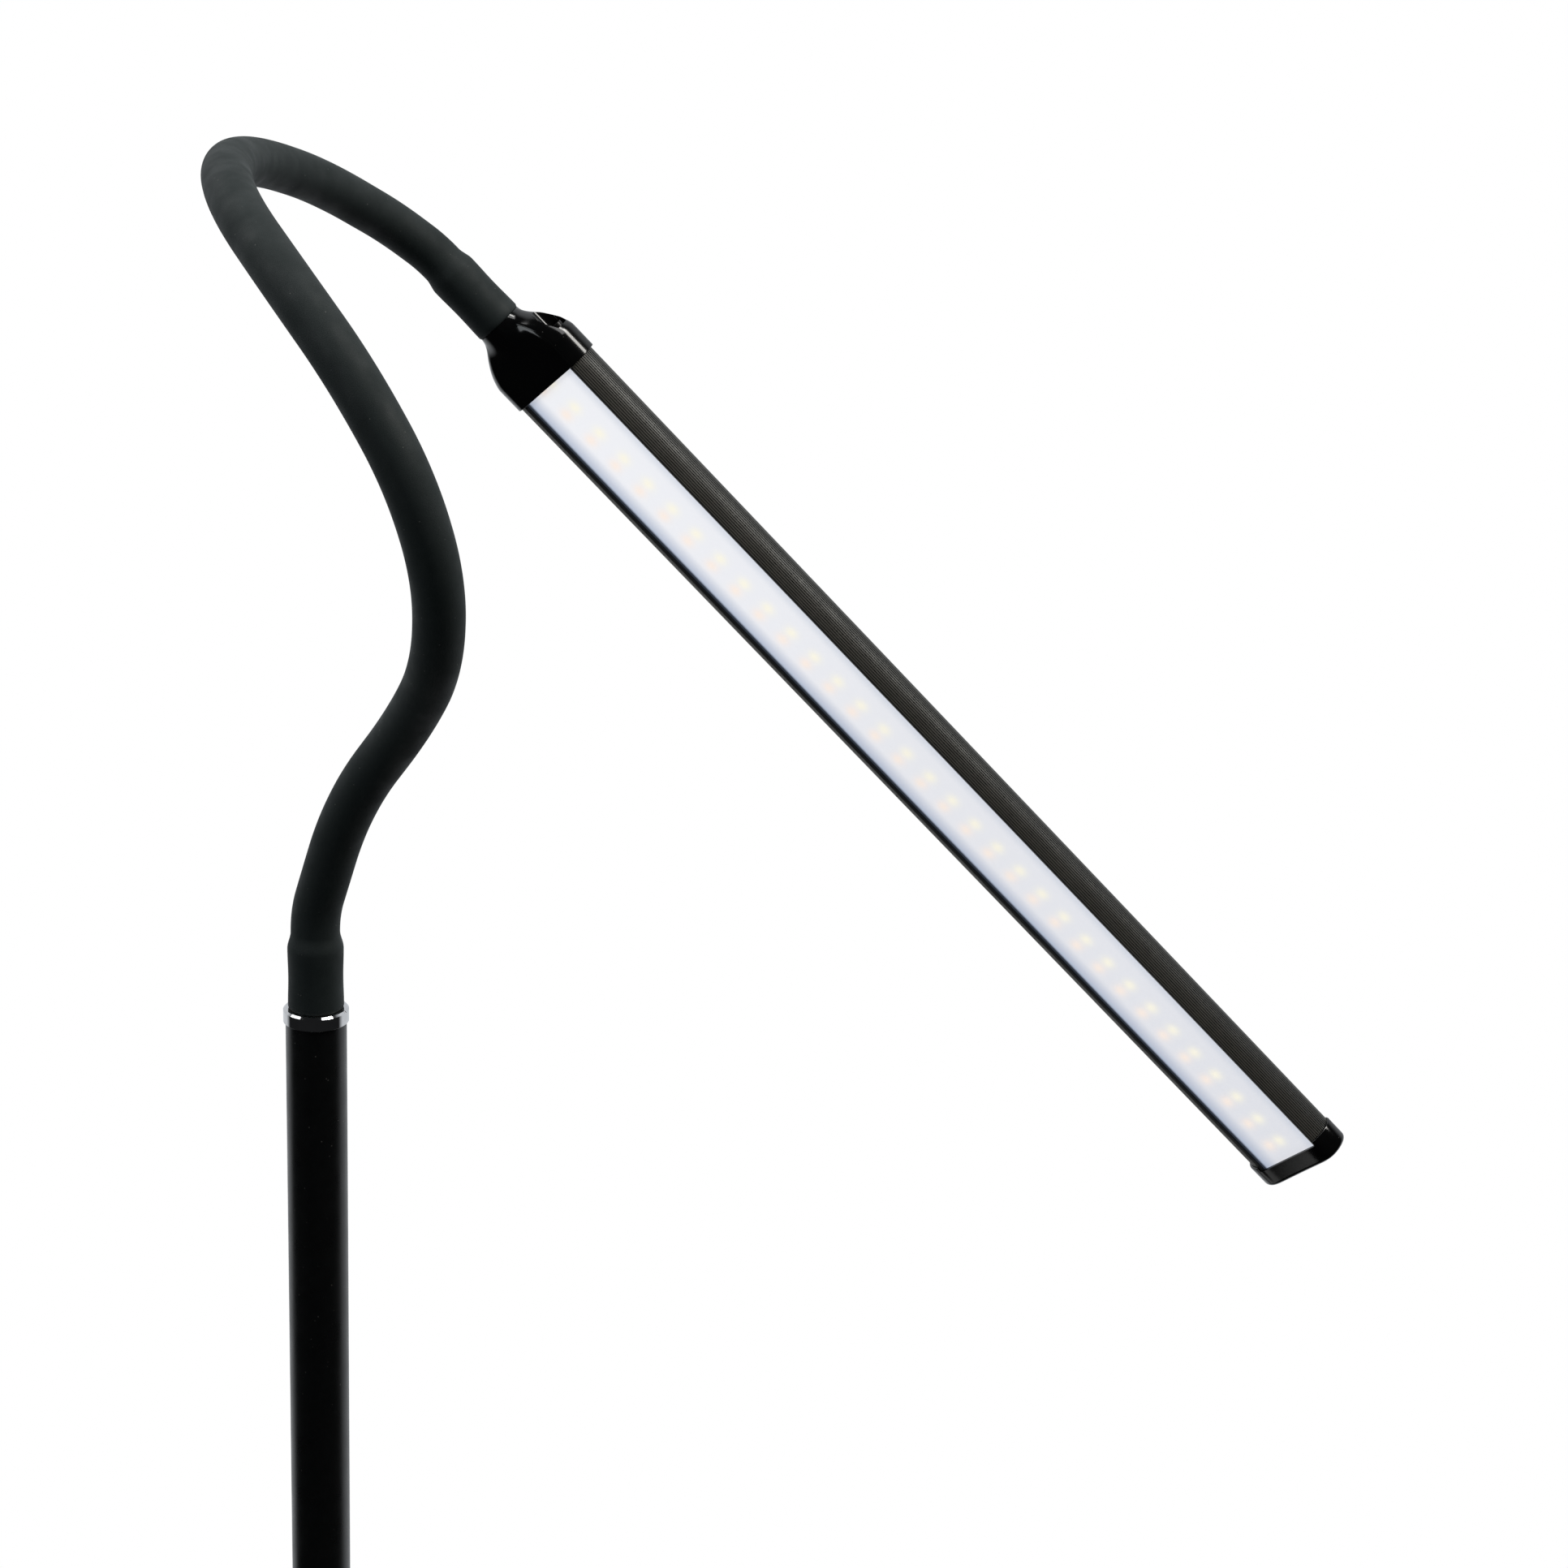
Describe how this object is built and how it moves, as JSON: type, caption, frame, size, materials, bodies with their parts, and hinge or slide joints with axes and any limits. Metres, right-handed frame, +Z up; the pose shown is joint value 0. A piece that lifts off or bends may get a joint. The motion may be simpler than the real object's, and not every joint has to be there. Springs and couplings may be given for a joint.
{
  "type": "gooseneck reading floor lamp",
  "caption": "Black floor lamp with a round weighted base, a slim pole, a long sleeved gooseneck and a slanting bar light with an opal diffuser.",
  "frame": {"origin": "on the floor, under the middle of the pole: the centre of the base pad's underside", "axes": "+Z up the pole; seen along +Y the light bar hangs to the right, +X; -Y is the side the light face looks to; the cord gland is at +Y"},
  "size_m": [0.5327, 0.3127, 1.354],
  "materials": {
    "black_paint": "satin powder coat",
    "chrome": "polished",
    "cast_iron": "raw casting",
    "zinc_steel": "zinc plated",
    "core_steel": "oiled",
    "sleeve_rubber": "matt",
    "pad_rubber": "matt",
    "cable_jacket": "satin",
    "black_plastic": "fine texture",
    "gloss_black": "gloss",
    "black_aluminium": "black anodised",
    "black_screw": "black oxide",
    "opal_plastic": "opal",
    "circuit_board": "white solder mask",
    "cool_led": "phosphor",
    "warm_led": "phosphor"
  },
  "bodies": {
    "stand": {"floor_pad": "pad_rubber", "base_weight": "cast_iron", "base_cover": "black_paint", "base_screws": "zinc_steel", "driver_board": "circuit_board", "driver_components": "black_plastic", "cord_gland": "pad_rubber", "button_switch": "black_plastic", "pole_socket": "black_paint", "socket_nut": "zinc_steel", "lower_pole": "black_paint", "middle_pole": "black_paint", "upper_pole": "black_paint", "lower_coupler": "zinc_steel", "upper_coupler": "zinc_steel", "pole_cable": "cable_jacket", "chrome_ring": "chrome", "pole_ferrule": "zinc_steel", "pole_boot": "sleeve_rubber"},
    "button": {"power_button": "black_plastic"},
    "link_01": {"core_link_01": "core_steel", "sleeve_01": "sleeve_rubber"},
    "link_02": {"core_link_02": "core_steel", "sleeve_02": "sleeve_rubber"},
    "link_03": {"core_link_03": "core_steel", "sleeve_03": "sleeve_rubber"},
    "link_04": {"core_link_04": "core_steel", "sleeve_04": "sleeve_rubber"},
    "link_05": {"core_link_05": "core_steel", "sleeve_05": "sleeve_rubber"},
    "link_06": {"core_link_06": "core_steel", "sleeve_06": "sleeve_rubber"},
    "link_07": {"core_link_07": "core_steel", "sleeve_07": "sleeve_rubber"},
    "link_08": {"core_link_08": "core_steel", "sleeve_08": "sleeve_rubber"},
    "link_09": {"core_link_09": "core_steel", "sleeve_09": "sleeve_rubber"},
    "link_10": {"core_link_10": "core_steel", "sleeve_10": "sleeve_rubber"},
    "link_11": {"core_link_11": "core_steel", "sleeve_11": "sleeve_rubber"},
    "link_12": {"core_link_12": "core_steel", "sleeve_12": "sleeve_rubber"},
    "link_13": {"core_link_13": "core_steel", "sleeve_13": "sleeve_rubber"},
    "head": {"head_ferrule": "zinc_steel", "head_boot": "sleeve_rubber", "head_adapter": "gloss_black", "adapter_screws": "black_screw", "bar_housing": "black_aluminium", "diffuser": "opal_plastic", "led_board": "circuit_board", "cool_leds": "cool_led", "warm_leds": "warm_led", "led_leads": "cable_jacket", "end_cap": "gloss_black", "cap_screws": "black_screw", "sleeve_14": "sleeve_rubber"}
  },
  "joints": [
    {"name": "button_press", "type": "slide", "parent": "stand", "child": "button", "axis": [0, 0, -1], "range_m": [0, 0.0015], "stiffness_N_per_m": 300, "springref_m": -0.003},
    {"name": "bend_01", "type": "hinge", "parent": "stand", "child": "link_01", "pos_m": [0.00051, -0.00033, 1.08909], "axis": [0.5474, 0.8369, 0], "range_deg": [-19.7, 12], "deforming": ["sleeve_01"]},
    {"name": "bend_02", "type": "hinge", "parent": "link_01", "child": "link_02", "pos_m": [0.01464, -0.00964, 1.13258], "axis": [0.569, 0.8223, -0.0093], "range_deg": [-19.3, 12], "deforming": ["sleeve_02"]},
    {"name": "bend_03", "type": "hinge", "parent": "link_02", "child": "link_03", "pos_m": [0.0363, -0.02556, 1.16859], "axis": [0.6417, -0.4366, -0.6305], "range_deg": [-15.3, 12], "deforming": ["sleeve_03"]},
    {"name": "bend_04", "type": "hinge", "parent": "link_03", "child": "link_04", "pos_m": [0.04778, -0.04271, 1.19478], "axis": [-0.6621, -0.7161, -0.221], "range_deg": [-23.4, 12], "deforming": ["sleeve_04"]},
    {"name": "bend_05", "type": "hinge", "parent": "link_04", "child": "link_05", "pos_m": [0.0498, -0.05462, 1.22639], "axis": [-0.5681, -0.7833, -0.2523], "range_deg": [-23, 12], "deforming": ["sleeve_05"]},
    {"name": "bend_06", "type": "hinge", "parent": "link_05", "child": "link_06", "pos_m": [0.0407, -0.0585, 1.25998], "axis": [-0.6784, -0.6832, -0.2704], "range_deg": [-23.2, 12], "deforming": ["sleeve_06"]},
    {"name": "bend_07", "type": "hinge", "parent": "link_06", "child": "link_07", "pos_m": [0.02162, -0.05141, 1.29197], "axis": [-0.8025, -0.4467, -0.3955], "range_deg": [-23.2, 12], "deforming": ["sleeve_07"]},
    {"name": "bend_08", "type": "hinge", "parent": "link_07", "child": "link_08", "pos_m": [-0.00302, -0.02949, 1.31876], "axis": [-0.79, -0.2096, -0.5761], "range_deg": [-22.6, 12], "deforming": ["sleeve_08"]},
    {"name": "bend_09", "type": "hinge", "parent": "link_08", "child": "link_09", "pos_m": [-0.02472, 0.0065, 1.33639], "axis": [-0.6417, -0.0284, -0.7664], "range_deg": [-19.3, 12], "deforming": ["sleeve_09"]},
    {"name": "bend_10", "type": "hinge", "parent": "link_09", "child": "link_10", "pos_m": [-0.03656, 0.05128, 1.34482], "axis": [-0.5996, -0.0104, -0.8003], "range_deg": [-23.2, 12], "deforming": ["sleeve_10"]},
    {"name": "bend_11", "type": "hinge", "parent": "link_10", "child": "link_11", "pos_m": [-0.03385, 0.09672, 1.34246], "axis": [-0.517, -0.0186, -0.8558], "range_deg": [-22.4, 12], "deforming": ["sleeve_11"]},
    {"name": "bend_12", "type": "hinge", "parent": "link_11", "child": "link_12", "pos_m": [-0.01778, 0.13533, 1.33153], "axis": [-0.6514, 0.0672, -0.7558], "range_deg": [-20.8, 12], "deforming": ["sleeve_12"]},
    {"name": "bend_13", "type": "hinge", "parent": "link_12", "child": "link_13", "pos_m": [0.00491, 0.1623, 1.31437], "axis": [-0.6522, 0.0685, -0.755], "range_deg": [-19, 12], "deforming": ["sleeve_13"]},
    {"name": "bend_14", "type": "hinge", "parent": "link_13", "child": "head", "pos_m": [0.01909, 0.17042, 1.30271], "axis": [-0.6876, 0.2311, -0.6883], "range_deg": [-23.1, 6], "deforming": ["sleeve_14"]}
  ]
}
